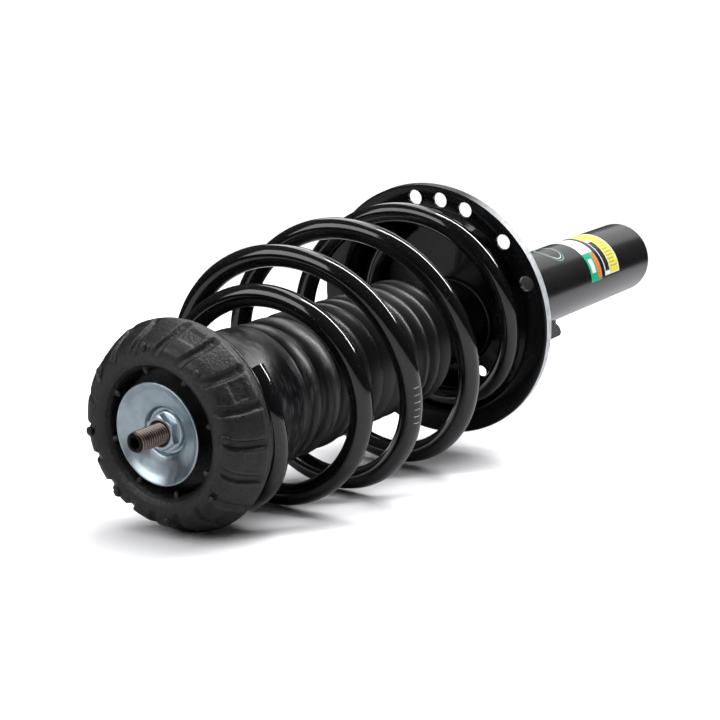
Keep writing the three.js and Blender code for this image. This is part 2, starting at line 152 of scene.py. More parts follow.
def bump(tree, height, depth, strength=1.0, normal=None):
    # depth is the full height of the relief in millimetres
    inputs = {"Height": height, "Distance": depth / 1000, "Strength": strength}
    if normal is not None:
        inputs["Normal"] = normal
    return addNode(tree, "ShaderNodeBump", inputs).outputs["Normal"]


def link(tree, output, shader, name):
    tree.links.new(output, shader.inputs[name])


def commonFinish(name, base, tint, roughness, metallic=0.0, patch=12.0, grain=0.8, relief=0.02, ior=1.5):
    # a finish with slow colour patches, a fine grain in its gloss and a slight relief
    material, tree, shader = startMaterial(name, metallic, ior)
    where = strutSpace(tree)
    fine = noise(tree, where, grain)
    link(tree, mixColours(tree, noise(tree, where, patch), base, tint), shader, "Base Color")
    link(tree, ranged(tree, fine, *roughness), shader, "Roughness")
    link(tree, bump(tree, fine, relief), shader, "Normal")
    return material


def distanceOut(tree, where):
    # millimetres from the strut's axis
    flat = addNode(tree, "ShaderNodeVectorMath", {0: where, 1: (0, 1, 1)}, operation="MULTIPLY").outputs[0]
    return addNode(tree, "ShaderNodeVectorMath", {0: flat}, operation="LENGTH").outputs["Value"]


print("materials")


def makePaint(name, base, tint, roughness, peel, coat, shine=0.5):
    # gloss top coat over cathodic dip on steel: deep black, mirror streaks, orange peel, rare dust nibs
    material, tree, shader = startMaterial(name)
    where = strutSpace(tree)
    shade = mixColours(tree, noise(tree, where, 25), base, tint)
    nibs = noise(tree, where, 0.9, detail=0.0, low=0.79, high=0.83)
    link(tree, mixColours(tree, nibs, shade, "#3a3a3c"), shader, "Base Color")
    link(tree, ranged(tree, noise(tree, where, 0.8), *roughness), shader, "Roughness")
    link(tree, bump(tree, noise(tree, where, peel, detail=1.0), 0.006), shader, "Normal")
    shader.inputs["Specular IOR Level"].default_value = shine
    shader.inputs["Coat Weight"].default_value = coat
    shader.inputs["Coat Roughness"].default_value = 0.04
    return material


springPaint = makePaint("glossBlackSpringCoat", "#070708", "#0b0b0c", (0.09, 0.15), 3.0, 0.4)
panPaint = makePaint("glossBlackPressedSteelPaint", "#060607", "#0a0a0b", (0.15, 0.25), 4.0, 0.1, 0.3)
tubePaint = makePaint("semiGlossBlackTubePaint", "#0b0b0c", "#101011", (0.2, 0.27), 5.0, 0.15)


def makeLipPaintedReflection():
    # the pressed edge of the pan: a pale grey painted reflection of the white backdrop over the black paint,
    # growing towards -Y
    material, tree, shader = startMaterial("lipPaintedBackdropReflection")
    where = strutSpace(tree)
    split = addNode(tree, "ShaderNodeSeparateXYZ", {"Vector": where})
    # painted reflection: the share of pale grey grows from black towards -Y
    paintedReflectionShare = addNode(tree, "ShaderNodeMapRange", {"Value": split.outputs["Y"], "From Min": -28,
                   "From Max": -66}, interpolation_type="SMOOTHSTEP")
    paintedReflectionGrey = mixColours(tree, noise(tree, where, 4), "#8f9295", "#a9acaf")
    link(tree, mixColours(tree, paintedReflectionShare.outputs["Result"], "#0a0a0b", paintedReflectionGrey), shader, "Base Color")
    fine = noise(tree, where, 0.8)
    link(tree, ranged(tree, fine, 0.3, 0.42), shader, "Roughness")
    link(tree, bump(tree, fine, 0.02), shader, "Normal")
    return material


lipPaintedReflection = makeLipPaintedReflection()


def makeMountRubber():
    # moulded natural rubber: near black, matt, with a dry brown-grey bloom that collects on worn pad edges
    material, tree, shader = startMaterial("mouldedBlackMountRubber", ior=1.52)
    where = strutSpace(tree)
    bloom = noise(tree, where, 9, detail=5.0, low=0.42, high=0.72)
    flow = noise(tree, where, 1.6, detail=4.0)
    wear = addNode(tree, "ShaderNodeAttribute", attribute_name="wear").outputs["Fac"]
    shade = mixColours(tree, bloom, "#0d0d0e", "#171615")
    worn = addNode(tree, "ShaderNodeMath", {0: wear, 1: flow}, operation="MULTIPLY").outputs[0]
    link(tree, mixColours(tree, worn, shade, "#262320"), shader, "Base Color")
    link(tree, ranged(tree, flow, 0.38, 0.55), shader, "Roughness")
    fine = noise(tree, where, 0.45, detail=2.0)
    rough = bump(tree, flow, 0.12)
    link(tree, bump(tree, fine, 0.03, normal=rough), shader, "Normal")
    return material


def makeBootRubber():
    # moulded thermoplastic elastomer: satin black, bluish sheen, grey scuffs on the proud folds
    material, tree, shader = startMaterial("mouldedSatinBootElastomer", ior=1.5)
    where = strutSpace(tree)
    stretched = addNode(tree, "ShaderNodeMapping", {"Vector": where, "Scale": (1, 0.22, 0.22)})
    scuff = noise(tree, stretched.outputs["Vector"], 2.2, detail=6.0, low=0.52, high=0.72)
    crest = addNode(tree, "ShaderNodeAttribute", attribute_name="wear").outputs["Fac"]
    dust = noise(tree, where, 14, detail=4.0, low=0.4, high=0.7)
    marks = addNode(tree, "ShaderNodeMath", {0: scuff, 1: crest}, operation="MULTIPLY").outputs[0]
    shade = mixColours(tree, dust, "#0a0a0c", "#121214")
    link(tree, mixColours(tree, marks, shade, "#3b3c40"), shader, "Base Color")
    link(tree, ranged(tree, marks, 0.36, 0.62), shader, "Roughness")
    fine = noise(tree, where, 0.6, detail=2.0)
    link(tree, bump(tree, fine, 0.02), shader, "Normal")
    return material


def makeZinc(name, base, tint, grease):
    # bright zinc plate with a clear blue passivate on pressed steel: cloudy blue-grey, faint turning rings
    material, tree, shader = startMaterial(name, metallic=1.0)
    where = strutSpace(tree)
    split = addNode(tree, "ShaderNodeSeparateXYZ", {"Vector": where})
    radius = distanceOut(tree, where)
    rings = addNode(tree, "ShaderNodeCombineXYZ", {"X": radius}).outputs[0]
    turning = noise(tree, rings, 0.7, detail=2.0)
    clouds = noise(tree, where, 7, detail=4.0, low=0.38, high=0.66)
    shade = mixColours(tree, clouds, base, tint)
    near = addNode(tree, "ShaderNodeMapRange", {"Value": radius, "From Min": grease,
                   "From Max": grease + 0.7, "To Min": 1.0, "To Max": 0.0})
    front = addNode(tree, "ShaderNodeMapRange", {"Value": split.outputs["X"], "From Min": 2.3,
                    "From Max": 3.0, "To Min": 1.0, "To Max": 0.0})
    dirty = addNode(tree, "ShaderNodeMath", {0: near.outputs["Result"], 1: front.outputs["Result"]},
                    operation="MULTIPLY").outputs[0]
    link(tree, mixColours(tree, dirty, shade, "#3a3633"), shader, "Base Color")
    link(tree, ranged(tree, clouds, 0.3, 0.42), shader, "Roughness")
    link(tree, bump(tree, turning, 0.012), shader, "Normal")
    return material


def makeThreadSteel():
    # rolled thread with manganese phosphate: brown-grey, dark in the roots, rubbed paler on the crests
    material, tree, shader = startMaterial("manganesePhosphatedThreadSteel", metallic=0.9)
    where = strutSpace(tree)
    radius = distanceOut(tree, where)
    crest = addNode(tree, "ShaderNodeMapRange", {"Value": radius, "From Min": 5.2, "From Max": 5.9})
    clouds = noise(tree, where, 4)
    shade = mixColours(tree, clouds, "#8b8078", "#a59a92")
    link(tree, mixColours(tree, crest.outputs["Result"], "#211d1b", shade), shader, "Base Color")
    link(tree, ranged(tree, clouds, 0.3, 0.44), shader, "Roughness")
    return material


mountRubber = makeMountRubber()
bootRubber = makeBootRubber()
washerZinc = makeZinc("blueZincPlatedWasherSteel", "#a6b5bd", "#bccad0", 0.0)
nutZinc = makeZinc("blueZincPlatedNutSteel", "#b9c4ca", "#cfd8dc", 7.4)
threadSteel = makeThreadSteel()
rodChrome = commonFinish("groundHardChrome", "#c9cacc", "#d4d5d6", (0.07, 0.13), 1.0, 30, 0.5, 0.001)
plainSteel = commonFinish("oiledColdDrawnSteel", "#85878a", "#95979a", (0.3, 0.45), 1.0, 18, 0.6, 0.008)
sinteredIron = commonFinish("sinteredPistonIron", "#4f5154", "#5f6164", (0.5, 0.7), 0.8, 6, 0.3, 0.04)
castAluminium = commonFinish("dieCastAluminium", "#96989a", "#a6a8aa", (0.4, 0.55), 1.0, 10, 0.7, 0.03)
bearingSteel = commonFinish("polishedBearingSteel", "#cfd1d3", "#dadcde", (0.06, 0.12), 1.0, 20, 0.4, 0.001)
cageNylon = commonFinish("mouldedGlassFilledNylon", "#cfc9b4", "#d9d3c0", (0.45, 0.6), 0.0, 8, 0.5, 0.02,
                         1.53)
sealRubber = commonFinish("mouldedNitrileSealRubber", "#1c1c1f", "#252528", (0.5, 0.65), 0.0, 7, 0.5, 0.02)
bumpFoam = commonFinish("cellularPolyurethaneFoam", "#3b3626", "#4a4430", (0.75, 0.95), 0.0, 9, 0.6, 0.15)
stampInk = commonFinish("whiteStampedInk", "#6f7378", "#9a9fa4", (0.5, 0.7), 0.0, 3, 0.4, 0.01)

# printed vinyl film: even colour, satin, a very faint grain
filmColours = {
    "white": ("#b6b8b9", "#c4c5c5", (0.22, 0.34)),
    "teal": ("#12906b", "#0f855f", (0.22, 0.34)),
    "orange": ("#d5622a", "#cb5a26", (0.22, 0.34)),
    "yellow": ("#c2b93c", "#b9b037", (0.22, 0.34)),
    "black": ("#17181a", "#1d1e20", (0.22, 0.34)),
    "grey": ("#6c6f5a", "#777a63", (0.25, 0.36)),
    "green": ("#3f6f60", "#4f7f6c", (0.22, 0.34)),
}
labelFilms = {}
for film, (base, tint, roughness) in filmColours.items():
    labelFilms[film] = commonFinish(film + "PrintedLabelFilm", base, tint, roughness, 0.0, 15, 1.0, 0.004)


# mesh helpers
def finishMesh(name, mesh, materials, sharp):
    shell = bmesh.new()
    shell.from_mesh(mesh)
    bmesh.ops.remove_doubles(shell, verts=shell.verts, dist=1e-6)
    bmesh.ops.recalc_face_normals(shell, faces=shell.faces)
    shell.to_mesh(mesh)
    shell.free()
    for material in materials:
        mesh.materials.append(material)
    mesh.shade_smooth()
    mesh.set_sharp_from_angle(angle=math.radians(sharp))
    piece = bpy.data.objects.new(name, mesh)
    bpy.context.scene.collection.objects.link(piece)
    return piece


def makePiece(name, points, faces, material, sharp=32, place=strutPlace, wear=None):
    mesh = bpy.data.meshes.new(name)
    mesh.from_pydata(points, [], faces)
    mesh.transform(place)
    if wear is not None:
        mesh.attributes.new("wear", "FLOAT", "POINT").data.foreach_set("value", wear)
    return finishMesh(name, mesh, [material], sharp)


def rounded(outline, size, steps=3, least=18):
    # a closed outline of (radius, at) with its corners turned into small curves
    result = []
    count = len(outline)
    for i, corner in enumerate(outline):
        before = Vector(outline[i - 1])
        here = Vector(corner)
        after = Vector(outline[(i + 1) % count])
        back = before - here
        ahead = after - here
        if here.x < 0.001 or 180 - math.degrees(back.angle(ahead)) < least:
            result.append(tuple(here))
            continue
        cut = min(size, back.length * 0.45, ahead.length * 0.45)
        start = here + back.normalized() * cut
        end = here + ahead.normalized() * cut
        for k in range(steps + 1):
            t = k / steps
            result.append(tuple(start * (1 - t) ** 2 + here * (2 * t * (1 - t)) + end * t * t))
    return result


def subdivided(outline, longest):
    # the same closed outline with no edge longer than longest
    result = []
    for i, here in enumerate(outline):
        after = Vector(outline[(i + 1) % len(outline)])
        span = after - Vector(here)
        parts = max(1, math.ceil(span.length / longest))
        result += [tuple(Vector(here) + span * k / parts) for k in range(parts)]
    return result


def revolved(outline, steps, shape=None):
    # turns a closed outline about the strut; a radius may be a function of the angle in degrees
    points = []
    for k in range(steps):
        degrees = 360 * k / steps
        for radius, at in outline:
            if callable(radius):
                radius = radius(degrees)
            if shape:
                radius, at = shape(radius, at, degrees)
            points.append(onStrut(at, radius, degrees))
    rows = len(outline)
    faces = []
    for k in range(steps):
        following = (k + 1) % steps
        for i in range(rows):
            ahead = (i + 1) % rows
            faces.append((k * rows + i, k * rows + ahead, following * rows + ahead, following * rows + i))
    return points, faces


def hexRadius(acrossFlats):
    # distance to a hexagon's side at each angle, with a corner at 0 degrees
    return lambda degrees: acrossFlats / 2 / math.cos(math.radians(degrees % 60 - 30))


def subtract(piece, cutters):
    # exact boolean, one cutter after another, then the cutters are thrown away
    for cutter in cutters:
        change = piece.modifiers.new("cut", "BOOLEAN")
        change.operation = "DIFFERENCE"
        change.solver = "EXACT"
        change.object = cutter
        plain = bpy.data.meshes.new_from_object(piece.evaluated_get(bpy.context.evaluated_depsgraph_get()))
        piece.modifiers.clear()
        old = piece.data
        piece.data = plain
        bpy.data.meshes.remove(old)
        bpy.data.objects.remove(cutter)


def slabFaces(first, steps, closed=False):
    # faces of a thin slab whose cross-sections are four points each, numbered on from first
    faces = []
    for k in range(steps):
        a = first + 4 * k
        b = first if closed and k == steps - 1 else a + 4
        faces += [(a, a + 1, b + 1, b), (a + 1, a + 3, b + 3, b + 1), (a + 3, a + 2, b + 2, b + 3),
                  (a + 2, a, b, b + 2)]
    if not closed:
        last = first + 4 * steps
        faces += [(first, first + 2, first + 3, first + 1), (last, last + 1, last + 3, last + 2)]
    return faces


def settle(piece, body, slot, *nodes):
    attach(piece, body)
    if nodes:
        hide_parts(*nodes)
    return piece


# geometry nodes helpers
def startTree(name, inputs):
    # an empty geometry tree with a Geometry input, named size inputs and a Material input
    inputs = {**inputs, "Material": springPaint}
    tree = bpy.data.node_groups.new(name, "GeometryNodeTree")
    tree.interface.new_socket("Geometry", in_out="INPUT", socket_type="NodeSocketGeometry")
    kinds = {float: "NodeSocketFloat", int: "NodeSocketInt", bpy.types.Material: "NodeSocketMaterial"}
    for label, value in inputs.items():
        kind = next(k for t, k in kinds.items() if isinstance(value, t))
        tree.interface.new_socket(label, in_out="INPUT", socket_type=kind)
    tree.interface.new_socket("Geometry", in_out="OUTPUT", socket_type="NodeSocketGeometry")
    return tree, addNode(tree, "NodeGroupInput"), addNode(tree, "NodeGroupOutput")


def endTree(tree, start, end, geometry):
    smooth = addNode(tree, "GeometryNodeSetShadeSmooth", {"Geometry": geometry})
    real = addNode(tree, "GeometryNodeRealizeInstances", {"Geometry": smooth.outputs[0]})
    skin = addNode(tree, "GeometryNodeSetMaterial", {"Geometry": real.outputs[0],
                   "Material": start.outputs["Material"]})
    tree.links.new(skin.outputs[0], end.inputs[0])


def grow(name, guide, tree, inputs, sharp=40):
    # runs the tree on the guide mesh and returns its result as a plain piece
    holder = bpy.data.objects.new(name + "Guide", guide)
    bpy.context.scene.collection.objects.link(holder)
    nodes = holder.modifiers.new("grow", "NODES")
    nodes.node_group = tree
    for socket in tree.interface.items_tree:
        if socket.in_out == "INPUT" and socket.name in inputs:
            nodes[socket.identifier] = inputs[socket.name]
    mesh = bpy.data.meshes.new_from_object(holder.evaluated_get(bpy.context.evaluated_depsgraph_get()))
    bpy.data.objects.remove(holder)
    mesh.name = name
    return finishMesh(name, mesh, [], sharp)


def guideLine(name, points, closed=False):
    # a mesh of edges only, already in place
    count = len(points)
    edges = [(i, (i + 1) % count) for i in range(count if closed else count - 1)]
    mesh = bpy.data.meshes.new(name)
    mesh.from_pydata(points, edges, [])
    mesh.transform(strutPlace)
    return mesh


def guideSpots(name, spots):
    # loose points with the direction each stud faces
    mesh = bpy.data.meshes.new(name)
    mesh.from_pydata([spot for spot, facing in spots], [], [])
    mesh.transform(strutPlace)
    turn = strutPlace.to_3x3().normalized()
    facing = mesh.attributes.new("facing", "FLOAT_VECTOR", "POINT")
    facing.data.foreach_set("vector", [v for spot, face in spots for v in (turn @ face).normalized()])
    return mesh


def makeSweepTree():
    # a round bar along the guide line, its ends closed flat
    tree, start, end = startTree("sweepRoundBar", {"Radius": 1.0, "Sides": 8})
    line = addNode(tree, "GeometryNodeMeshToCurve", {0: start.outputs["Geometry"]})
    ringNode = addNode(tree, "GeometryNodeCurvePrimitiveCircle", {"Resolution": start.outputs["Sides"],
                       "Radius": start.outputs["Radius"]})
    bar = addNode(tree, "GeometryNodeCurveToMesh", {"Curve": line.outputs[0],
                  "Profile Curve": ringNode.outputs["Curve"], "Fill Caps": True})
    endTree(tree, start, end, bar.outputs[0])
    return tree


def endWithBalls(tree, start, end, points, turn, size, segments, rings):
    # a ball on every point, turned and stretched
    ball = addNode(tree, "GeometryNodeMeshUVSphere", {"Segments": segments, "Rings": rings, "Radius": 1.0})
    stretch = addNode(tree, "ShaderNodeCombineXYZ", dict(zip("XYZ", size)))
    balls = addNode(tree, "GeometryNodeInstanceOnPoints", {"Points": points,
                    "Instance": ball.outputs["Mesh"], "Rotation": turn.outputs[0],
                    "Scale": stretch.outputs[0]})
    endTree(tree, start, end, balls.outputs[0])


def makeStudTree():
    # low domes standing on the guide points, each facing its own way
    tree, start, end = startTree("studsOnPoints", {"Radius": 1.0, "Height": 1.0, "Segments": 12})
    facing = addNode(tree, "GeometryNodeInputNamedAttribute", {"Name": "facing"}, data_type="FLOAT_VECTOR")
    turn = addNode(tree, "FunctionNodeAlignRotationToVector", {"Vector": facing.outputs[0]}, axis="Z")
    radius = start.outputs["Radius"]
    endWithBalls(tree, start, end, start.outputs["Geometry"], turn, (radius, radius, start.outputs["Height"]),
                 start.outputs["Segments"], 10)
    return tree


def makeBeadTree():
    # a weld bead: overlapping ripples strung along the guide line at an even step
    tree, start, end = startTree("weldBead", {"Radius": 1.0, "Step": 1.0, "Seed": 1})
    line = addNode(tree, "GeometryNodeMeshToCurve", {0: start.outputs["Geometry"]})
    even = addNode(tree, "GeometryNodeResampleCurve", {"Curve": line.outputs[0],
                   "Length": start.outputs["Step"]}, mode="LENGTH")
    tangent = addNode(tree, "GeometryNodeInputTangent")
    turn = addNode(tree, "FunctionNodeAlignRotationToVector", {"Vector": tangent.outputs[0]}, axis="X")
    chance = addNode(tree, "FunctionNodeRandomValue", {2: 0.9, 3: 1.1, "Seed": start.outputs["Seed"]},
                     data_type="FLOAT")
    wide = addNode(tree, "ShaderNodeMath", {0: start.outputs["Radius"], 1: chance.outputs[1]},
                   operation="MULTIPLY").outputs[0]
    endWithBalls(tree, start, end, even.outputs[0], turn, (start.outputs["Step"], wide, wide), 12, 8)
    return tree


sweepTree = makeSweepTree()
studTree = makeStudTree()
beadTree = makeBeadTree()

# coil spring
print("coil spring")
coil = {"wireRadius": 6.6, "firstTurn": -0.84, "lastTurn": 3.93, "phase": -0.0144, "lean": 5.54,
        "sides": 26, "pointsPerTurn": 110, "frontRest": 35.7, "panRest": 298.1, "anchorAt": 304.0,
        "topAt": 29.1, "travel": 115.0}
# turn, at, coil radius, rise, shift towards +Y
coilStations = [
    (-0.9, 35.7, 51, 0, 0), (-0.75, 36.2, 51.2, 0.3, 0), (-0.25, 71, 53.6, 0.8, -2.4),
    (0.25, 94, 62.3, 4.4, -5.6), (0.5, 91.2, 66.2, 6.6, -6.8), (1, 105, 73.2, 6.8, -8),
    (1.5, 142.5, 73.7, 9, -6.8), (2, 176.4, 74, 10.6, -1.8), (2.5, 218.4, 75, 4.4, 0.6),
    (3, 255.4, 74.2, 8.6, 4.4), (3.25, 268, 70, 9.8, 5), (3.5, 286.6, 61.2, 11, 2.4),
    (3.75, 296.1, 59.8, 11.4, 0.5), (4.1, 296.1, 60, 11.6, -0.2)]


def smoothValue(table, column, turn):
    # a smooth value at a turn, through one column of the stations
    last = len(table) - 2
    i = 0
    while i < last and turn > table[i + 1][0]:
        i += 1

    def slope(k):
        before = table[max(k - 1, 0)]
        after = table[min(k + 1, len(table) - 1)]
        return (after[column] - before[column]) / (after[0] - before[0])

    span = table[i + 1][0] - table[i][0]
    t = (turn - table[i][0]) / span
    return ((1 + 2 * t) * (1 - t) ** 2 * table[i][column] + t * (1 - t) ** 2 * span * slope(i)
            + t * t * (3 - 2 * t) * table[i + 1][column] + t * t * (t - 1) * span * slope(i + 1))


def coilCentre(turn):
    at, radius, rise, shift = (smoothValue(coilStations, column, turn) for column in (1, 2, 3, 4))
    angle = 2 * math.pi * (turn + coil["phase"])
    share = (turn - coil["firstTurn"]) / (coil["lastTurn"] - coil["firstTurn"])
    lean = math.tan(math.radians(coil["lean"])) * share
    held = min(max(at, coil["frontRest"]), coil["panRest"])
    return Vector((held - lean * radius * math.cos(angle), shift - radius * math.sin(angle),
                   rise + radius * math.cos(angle)))


def squashWithCoil(piece):
    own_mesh(piece)


def makeCoil():
    turns = coil["lastTurn"] - coil["firstTurn"]
    count = round(turns * coil["pointsPerTurn"])
    line = [coilCentre(coil["firstTurn"] + turns * i / count) for i in range(count + 1)]
    piece = grow("coilSpring", guideLine("coilLine", line), sweepTree,
                 {"Radius": coil["wireRadius"] / 1000, "Sides": coil["sides"], "Material": springPaint}, 50)
    settle(piece, "damper_body", "gloss_black_paint", "coil_spring")
    squashWithCoil(piece)


stamp = {"count": 6, "turn": 1.268, "spacing": 0.0092, "halfWidth": 0.28, "from": 6, "to": 40, "steps": 4,
         "sunk": 0.05, "lift": 0.05}


def makeStamp():
    # a row of plain dashes on the second coil, in place of a batch mark
    points, faces = [], []
    for k in range(stamp["count"]):
        turn = stamp["turn"] + k * stamp["spacing"]
        centre = coilCentre(turn)
        ahead = (coilCentre(turn + 0.001) - centre).normalized()
        outward = onStrut(0, 1, 360 * (turn + coil["phase"]))
        side = ahead.cross(outward).normalized()
        faces += slabFaces(len(points), stamp["steps"])
        for step in range(stamp["steps"] + 1):
            angle = math.radians(stamp["from"] + (stamp["to"] - stamp["from"]) * step / stamp["steps"])
            facing = outward * math.cos(angle) + side * math.sin(angle)
            for shift in (-stamp["halfWidth"], stamp["halfWidth"]):
                for reach in (coil["wireRadius"] - stamp["sunk"], coil["wireRadius"] + stamp["lift"]):
                    points.append(centre + ahead * shift + facing * reach)
    piece = makePiece("coilStampedDashes", points, faces, stampInk, 30)
    settle(piece, "damper_body", "gloss_black_paint")
    squashWithCoil(piece)


makeCoil()
makeStamp()

# rubber mount
print("rubber mount")
mount = {"pads": 18, "padTurn": 12, "grooveDepth": 2.3, "grooveHalf": 2.3, "grooveEdge": 0.9, "swirl": 5.0,
         "steps": 500, "domes": 8, "domeTurn": -4, "domeCircle": 48.2, "domeAt": -1.15, "domeRadius": 2.7,
         "domeHeight": 1.5, "pegs": 8, "pegTurn": -12, "pegCircle": 35.6, "pegAt": 4.5, "pegRadius": 1.9,
         "pegHeight": 3.4, "patchDepth": 0.5, "patchHalf": 5.0, "patchFrom": 6.5, "patchTo": 15.5,
         "sectionCentre": (46, 14)}
tyreOutline = [
    (14.3, 17), (32.3, 17), (34.6, 16), (35.3, 13.6), (35.4, 6), (36.2, 3.4), (38, 0.9), (40.6, -0.6),
    (43.6, -1.35), (46.5, -1.5), (49, -0.7), (51, 1), (52.7, 3.2), (54.3, 6), (56, 9.4), (57.6, 12.8),
    (59, 15.8), (60, 18.6), (59.9, 20.6), (59.5, 21.2), (59.5, 21.7), (59.7, 22.3), (59, 24.4),
    (57.6, 25.7), (56, 26), (22, 26), (22, 32), (14.3, 32)]


def grooveOffset(radius, degrees):
    # degrees to the nearest notch, which swirls a little towards the tyre's crown
    turn = mount["padTurn"] - mount["swirl"] * (1 - blendBetween(42, 58, radius))
    pitch = 360 / mount["pads"]
    return turn, (degrees - turn + pitch / 2) % pitch - pitch / 2


def mountShape(radius, at, degrees):
    # sinks the notches between the pads, and a shallow frame on every second pad
    m = mount
    if at > 20.8 or radius < 40:
        return radius, at
    depthShare = blendBetween(42.5, 49.5, radius) * (1 - blendBetween(17.5, 20.5, at))
    turn, offset = grooveOffset(radius, degrees)
    pitch = 360 / m["pads"]
    distance = abs(math.radians(offset) * radius)
    half, edge = m["grooveHalf"], m["grooveEdge"]
    notch = 1 - blendBetween(half - edge, half + edge, distance)
    sink = m["grooveDepth"] * notch * depthShare
    number = math.floor((degrees - turn) / pitch)
    if number % 2 == 0 and radius > 54:
        fromMiddle = abs(math.radians((degrees - turn) % pitch - pitch / 2) * radius)
        inPatch = 1 - blendBetween(m["patchHalf"], m["patchHalf"] + 0.5, fromMiddle)
        inPatch *= blendBetween(m["patchFrom"], m["patchFrom"] + 0.7, at)
        inPatch *= 1 - blendBetween(m["patchTo"] - 0.7, m["patchTo"], at)
        sink += m["patchDepth"] * inPatch
    # inwards along the torus section
    here = Vector((radius, at))
    moved = here + (Vector(m["sectionCentre"]) - here).normalized() * sink
    return moved.x, moved.y


def growNubs(label, kind, segments, facing):
    spots = []
    for k in range(mount[kind + "s"]):
        degrees = mount[kind + "Turn"] + 360 * k / mount[kind + "s"]
        spots.append((onStrut(mount[kind + "At"], mount[kind + "Circle"], degrees), facing(degrees)))
    sizes = {"Radius": mount[kind + "Radius"] / 1000, "Height": mount[kind + "Height"] / 1000,
             "Segments": segments, "Material": mountRubber}
    piece = grow("mountRubber" + label, guideSpots(kind + "Spots", spots), studTree, sizes)
    settle(piece, "top_mount", "mount_rubber")


def makeMount():
    outline = subdivided(rounded(tyreOutline, 1.2, 3, 30), 0.9)
    points, faces = revolved(outline, mount["steps"], mountShape)
    wear = []
    for k in range(mount["steps"]):
        degrees = 360 * k / mount["steps"]
        for radius, at in outline:
            distance = abs(math.radians(grooveOffset(radius, degrees)[1]) * radius)
            edge = 1 - blendBetween(0, 1.6, abs(distance - mount["grooveHalf"] - 1.0))
            wear.append(edge * blendBetween(46, 52, radius) * (1 - blendBetween(17, 20, at)))
    piece = makePiece("mountRubberTyre", points, faces, mountRubber, 60, wear=wear)
    settle(piece, "top_mount", "mount_rubber", "mount_rubber")
    growNubs("Domes", "dome", 24, lambda degrees: onStrut(-12, 3, degrees))
    growNubs("Pegs", "peg", 16, lambda degrees: onStrut(0, -1, degrees))


makeMount()

# washer, nut and threaded rod
print("washer, nut and rod")
washer = {"radius": 28.8, "wall": 2.4, "dish": 9.5, "stepAt": 6.5, "seatRadius": 13, "hole": 6.3}
nut = {"acrossFlats": 18, "faceAt": 2.2, "flangeAt": 7.4, "backAt": 9.2, "flangeRadius": 11.2, "hole": 6.3,
       "chamfer": 1.5}
rod = {"radius": 11, "threadRadius": 6, "pitch": 1.75, "threadDepth": 1.0, "endAt": -17.5, "threadTo": 9.2,
       "shoulderAt": 35.3, "socket": 6, "socketDepth": 9, "tailAt": 263.0, "tailRadius": 5,
       "tailEnd": 290.0, "steps": 60}


def makeWasher():
    w = washer
    outline = [(w["hole"], w["dish"]), (w["seatRadius"], w["dish"]), (w["seatRadius"] + 1, w["stepAt"]),
               (17.5, 5.2), (21, 3.95), (24.5, 2.3), (27.0, 0.7), (w["radius"] - 0.7, 0),
               (w["radius"], 0.2), (w["radius"], 1.5), (w["radius"] - 1.2, w["wall"]), (24.5, 4.6),
               (21, 6.35), (17.5, 7.6), (w["seatRadius"] + w["wall"], w["stepAt"] + w["wall"]),
               (w["seatRadius"], w["dish"] + w["wall"]), (w["hole"], w["dish"] + w["wall"])]
    piece = makePiece("topWasher", *revolved(rounded(outline, 0.6, 3, 6), 144), washerZinc, 40)
    settle(piece, "top_mount", "zinc_plate", "top_washer")


def makeNut():
    n = nut
    flats = hexRadius(n["acrossFlats"])
    inscribed = n["acrossFlats"] / 2
    outline = [(n["hole"], n["backAt"]), (n["hole"], n["faceAt"] + 0.7), (n["hole"] + 0.7, n["faceAt"]),
               (inscribed - 0.35, n["faceAt"]), (inscribed, n["faceAt"] + 0.12)]
    for k in range(1, 8):
        grown = inscribed + n["chamfer"] * k / 7
        outline.append((lambda degrees, grown=grown: min(flats(degrees), grown),
                        n["faceAt"] + 0.12 + n["chamfer"] * 0.62 * k / 7))
    outline += [(flats, n["flangeAt"]), (n["flangeRadius"] - 0.9, n["flangeAt"]),
                (n["flangeRadius"] - 0.2, n["flangeAt"] + 0.4), (n["flangeRadius"], n["flangeAt"] + 0.9),
                (n["flangeRadius"], n["backAt"])]
    piece = makePiece("topNut", *revolved(outline, 144), nutZinc, 22)
    settle(piece, "top_mount", "zinc_plate", "top_nut")


def threadRadiusAt(at, degrees):
    # a rounded V thread, fading out at its first turn and at the shank
    wave = abs(((at / rod["pitch"] - degrees / 360) % 1) * 2 - 1)
    depth = rod["threadDepth"] * blendBetween(rod["threadTo"], rod["threadTo"] - 2, at)
    return rod["threadRadius"] - depth * blendBetween(0.05, 0.85, wave)


def makeRod():
    r = rod
    socket = hexRadius(r["socket"])
    end = r["endAt"]
    floorAt = end + r["socketDepth"]
    outline = [(0, floorAt + 1), (socket, floorAt), (socket, end + 0.5),
               (lambda degrees: socket(degrees) + 0.45, end), (r["threadRadius"] - 1.1, end)]
    stepSize = r["pitch"] / 8
    count = int((r["threadTo"] - end - 0.6) / stepSize)
    for k in range(count):
        at = end + 0.6 + k * stepSize
        chamfer = r["threadRadius"] - 0.9 + (at - end) * 0.7
        outline.append((lambda degrees, at=at, most=chamfer: min(threadRadiusAt(at, degrees), most), at))
    outline += [(r["threadRadius"], r["threadTo"]), (r["threadRadius"], r["shoulderAt"]),
                (r["radius"] - 0.8, r["shoulderAt"]), (r["radius"], r["shoulderAt"] + 0.8),
                (r["radius"], r["tailAt"]), (r["tailRadius"], r["tailAt"]),
                (r["tailRadius"], r["tailEnd"]), (0, r["tailEnd"])]
    piece = makePiece("pistonRod", *revolved(outline, r["steps"]), threadSteel, 45)
    piece.data.materials.append(rodChrome)
    shoulder = (strutPlace @ Vector((r["shoulderAt"] - 0.1, 0, 0))).dot(along)
    for face in piece.data.polygons:
        if face.center.dot(along) > shoulder:
            face.material_index = 1
    settle(piece, "top_mount", "rod_steel", "piston_rod")


makeWasher()
makeNut()
makeRod()

